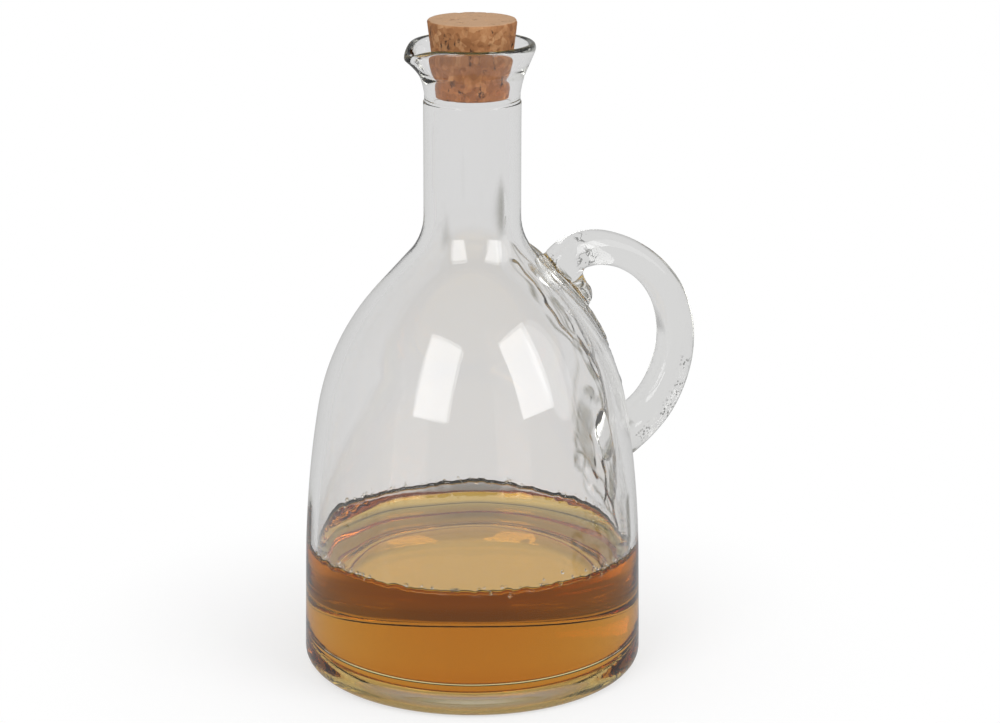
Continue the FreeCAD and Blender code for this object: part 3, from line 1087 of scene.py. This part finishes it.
# %% The beading tree
def beading_tree():
    tree, bench, given = new_tree("beads_on_points", Smallest=0.2 * MM, Largest=0.6 * MM, Seed=1)
    spots, small, large, seed, finish = given
    bead = bench.node("GeometryNodeMeshIcoSphere", None, Radius=1.0, Subdivisions=2)
    chance = bench.node("FunctionNodeRandomValue", {"data_type": "FLOAT"}, out=1).socket.node
    tree.links.new(seed.socket, chance.inputs["Seed"])
    size = small + (large - small) * (Wire(bench, chance.outputs[1]) ** 2.2)
    stretch = bench.node("ShaderNodeCombineXYZ", None, size, size, size * 1.15)
    placed = bench.node("GeometryNodeInstanceOnPoints", None, Points=spots, Instance=bead,
                        Scale=stretch)
    close_tree(bench, placed, finish)
    return tree


beading = beading_tree()
print("tree", beading.name)

# %% [markdown]
# ### Beads on the wall
# Most beads sit just above the oil's edge, fewer and fewer with height, and they leave some
# stretches of the wall free, as drained oil does.

# %% Beads of oil on the wall
chance = np.random.default_rng(7)
inner_table = np.array([tuple(p) for p in inner_side])


def inner_radius(height):
    return np.interp(height, inner_table[:, 1], inner_table[:, 0])


spots = []
for _ in range(420):
    turn = chance.uniform(-math.pi, math.pi)
    if noise.noise(Vector((math.cos(turn), math.sin(turn), 0)) * 3.1) < -0.22:
        continue
    height = np.interp(turn, bins, heights) + chance.exponential(0.55) * MM - 0.2 * MM
    reach = inner_radius(height) - OVER
    spots.append((reach * math.cos(turn), reach * math.sin(turn), height))
mesh = bpy.data.meshes.new("bead_spots")
mesh.from_pydata(spots, [], [])
beads = run_tree("oil_beads", mesh, beading, Smallest=0.16 * MM, Largest=0.62 * MM, Seed=3,
                 Finish=oil)
print("beads", len(spots), "triangles", triangles(beads))

# %% [markdown]
# ## The cork
# The cork is a tapered plug with chamfered edges. Bark has pores and missing crumbs, so its
# points are pushed in at the pores, more on the side than on the sawn ends.

# %% Cork body
cork_top, cork_foot = cork_high.x, cork_high.x - 3.0 * MM
CHAMFER = 0.5 * MM
cork_line = evenly([Vector(p) for p in (
    (0.0, cork_low.z), (cork_foot - CHAMFER, cork_low.z), (cork_foot, cork_low.z + CHAMFER),
    (cork_top - 0.06 * MM, cork_high.z - CHAMFER), (cork_top - CHAMFER, cork_high.z),
    (0.0, cork_high.z))], lambda z: 0.32 * MM)
cork_line[-1] = (0.0, cork_high.z)
stopper = turned("cork_body", cork_line, 200, cork)


def barked(points):
    """The plug with its pores and small missing crumbs."""
    moved = points.copy()
    radius = np.hypot(points[:, 0], points[:, 1])
    away = points[:, :2] / np.maximum(radius, 1e-6)[:, None]
    edge = soft_step(cork_foot - 1.5 * MM, cork_foot - 0.2 * MM, radius)
    pits = soft_step(0.30, 0.62, wander(points * (1, 1, 0.8), 1.9 * MM, 31))
    cracks = soft_step(0.42, 0.66, wander(points * (1, 1, 0.35), 3.0 * MM, 32))
    crumbs = wander(points, 0.9 * MM, 33)
    depth = (0.55 * pits + 0.75 * cracks + 0.07 * crumbs) * MM * edge
    moved[:, :2] -= away * np.maximum(depth, 0)[:, None]
    ends = (1 - edge) * np.where(points[:, 2] > (cork_low.z + cork_high.z) / 2, -1, 1)
    moved[:, 2] += ends * (0.22 * pits + 0.03 * crumbs) * MM
    return moved


set_points(stopper, barked(points_of(stopper)))
outwards(stopper)
print("cork triangles", triangles(stopper))

# %% [markdown]
# ## Studio
# The bottle stands on a plain pale floor in white surroundings. Clear glass on white would have
# no tone at all, so in a real studio dark cards stand where only the glass shows them.
# Here the kind of ray takes their place: straight to the camera the surroundings are white,
# through glass they are a quarter darker, and in a mirror darker still, which draws the
# outlines. A shaded ring on the floor gives the dark band under the oil's edge.

# %% Kinds of rays
DIMMED = 0.27  # how much darker than white the surroundings look through glass
CEILING = 0.25  # and how much darker still high above
SHADED, SHADED_SIDES = 0.46, 0.75  # the ring behind the bottle, and how it fades sideways
UNDER_HEEL = 0.27  # the floor right under the heel
UNDER_OIL = (0.96, 0.93, 0.55)  # the floor's colour where light reaches it through the oil
MIRRORED_FLOOR, MIRRORED_WALLS = 0.55, 0.20  # how much darker they are in a mirror
SIDEWAYS = (0.906, -0.423, 0.0)  # square to the camera's view, over the floor


def ray_kinds(bench):
    """Camera rays, rays that came through glass, and rays off a mirror, as shares.

    A ray bent by clear glass counts as glossy too, so the mirrored ones are the rest.
    """
    path = bench.node("ShaderNodeLightPath").socket.node
    seen, through, glossy = (Wire(bench, path.outputs[kind]) for kind in
                             ("Is Camera Ray", "Is Transmission Ray", "Is Glossy Ray"))
    return seen, through, glossy * (1 - through)


print("dimmed by", DIMMED)


# %% Floor and surroundings
def floor_finish():
    finish, bench, place = new_finish("pale_floor")
    tone = bench.blend((0.93, 0.93, 0.93), (0.95, 0.95, 0.95), bench.grain(place, 2.0))
    plain = bench.node("ShaderNodeBsdfPrincipled", None, Base_Color=tone, Roughness=0.9,
                       Specular_IOR_Level=0.1)
    away = bench.node("ShaderNodeVectorMath", {"operation": "LENGTH"}, place, out=1)
    aside = bench.node("ShaderNodeVectorMath", {"operation": "DOT_PRODUCT"}, place, SIDEWAYS, out=1)
    seen, through, mirrored = ray_kinds(bench)
    shade = (bench.window(away, 0.052, 0.060, 0.088, 0.120)
             * (1 - bench.ramp(aside.math("ABSOLUTE"), 0.004, 0.022) * SHADED_SIDES))
    share = seen * (0.60 + bench.ramp(away, 0.05, 0.16) * 0.40) + through + mirrored
    below = 1 - bench.ramp(away, 0.054, 0.060)
    hue = bench.blend((1.0, 1.0, 1.0), UNDER_OIL, below * through)
    # Painted shade on the floor right under the heel, seen through the glass.
    heel = below * bench.ramp(away, 0.040, 0.046)
    white = bench.node("ShaderNodeEmission", None, hue, 1.0 - mirrored * MIRRORED_FLOOR
                       - through * (DIMMED + shade * SHADED + heel * UNDER_HEEL))
    both = bench.node("ShaderNodeMixShader", None, share, plain, white)
    bench.node("ShaderNodeOutputMaterial", None, Surface=both)
    finish.cycles.emission_sampling = "NONE"
    return finish


def white_world(plain=0.64):
    """Surroundings that light things with strength `plain` and look white."""
    world = bpy.data.worlds.new("studio")
    world.use_nodes = True
    world.node_tree.nodes.clear()
    bench = Bench(world.node_tree)
    seen, through, mirrored = ray_kinds(bench)
    height = bench.axes(bench.node("ShaderNodeTexCoord"))[2]
    ceiling = bench.ramp(height, 0.40, 0.85) * CEILING
    strength = (plain + (1 - plain) * seen + (1 - plain - DIMMED - ceiling) * through
                - mirrored * MIRRORED_WALLS)
    light = bench.node("ShaderNodeBackground", None, (1, 1, 1, 1), strength)
    bench.node("ShaderNodeOutputWorld", None, Surface=light)
    bpy.context.scene.world = world


form = bmesh.new()
bmesh.ops.create_circle(form, cap_ends=True, segments=96, radius=6.0)
mesh = bpy.data.meshes.new("floor")
form.to_mesh(mesh)
form.free()
floor = bpy.data.objects.new("floor", mesh)
floor.data.materials.append(floor_finish())
bpy.context.scene.collection.objects.link(floor)
white_world()
print("floor and surroundings")

# %% [markdown]
# ### Lamps
# Two soft boxes stand on both sides of the camera. Clear glass shows a lamp by its mirror image
# only, so their shapes are the tall highlights on the shoulder and the small ones on the neck.
# A weak round lamp from the side adds the soft patch beside the right one.

# %% Soft boxes
VIEW_TURN = math.radians(-25)
LAMP_DISTANCE = 1.3
SHOULDER = Vector((0, 0, 0.11))
LAMPS = [  # name, shape, turn and rise in degrees, width and height in m, power in W
    ("round_fill", "ELLIPSE", 76, 27, 0.62, 1.05, 1.7),
    ("left_soft_box", "RECTANGLE", -33, 33, 0.62, 0.92, 6.0),
    ("right_soft_box", "RECTANGLE", 52, 33, 0.64, 0.92, 6.2),
]


def away_from(turn, rise):
    """The direction at a turn and a rise from the camera's own side."""
    return Vector((math.sin(turn) * math.cos(rise), -math.cos(turn) * math.cos(rise),
                   math.sin(rise)))


for name, shape, turn, rise, width, height, power in LAMPS:
    lamp = bpy.data.lights.new(name, "AREA")
    lamp.shape, lamp.size, lamp.size_y, lamp.energy = shape, width, height, power
    away = away_from(VIEW_TURN + math.radians(turn), math.radians(rise))
    holder = bpy.data.objects.new(name, lamp)
    holder.location = SHOULDER + away * LAMP_DISTANCE
    holder.rotation_euler = away.to_track_quat("Z", "Y").to_euler()
    bpy.context.scene.collection.objects.link(holder)
print("lamps", len(LAMPS))

# %% [markdown]
# ## Camera
# The camera looks a little down on the bottle from the lip's side, with the handle to the right
# and turned slightly away. Light takes many turns in a thick wall with oil behind it, so the
# paths may bounce often before they are given up as black.

# %% Camera
DISTANCE, HEIGHT, LOOK_DOWN = 0.850, 0.3576, math.radians(16.7)
BOUNCES, MIRROR_BOUNCES = 28, 20

camera = bpy.data.objects.new("camera", bpy.data.cameras.new("camera"))
camera.data.sensor_width, camera.data.lens, camera.data.shift_x = 36.0, 97.2, 0.0277
camera.data.clip_start = 0.05
camera.location = away_from(VIEW_TURN, 0.0) * DISTANCE + Vector((0, 0, HEIGHT))
camera.rotation_euler = (math.pi / 2 - LOOK_DOWN, 0, VIEW_TURN)
bpy.context.scene.collection.objects.link(camera)
bpy.context.scene.camera = camera
bpy.context.scene.view_settings.view_transform = "Standard"
paths = bpy.context.scene.cycles
paths.max_bounces = paths.transmission_bounces = BOUNCES
paths.glossy_bounces = MIRROR_BOUNCES
print("camera", [round(v, 3) for v in camera.location])

# %% [markdown]
# ## The pieces on the body
# Each piece rides on the bottle's one body, and the imported solid it stands for is hidden.

# %% Ride and replace
for piece, slot, nodes in ((bottle, "glass", ["bottle"]), (contents, "oil", ["oil"]),
                           (beads, "oil", []), (stopper, "cork", ["cork_stopper"])):
    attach(piece, "root")
    if nodes:
        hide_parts(*nodes)
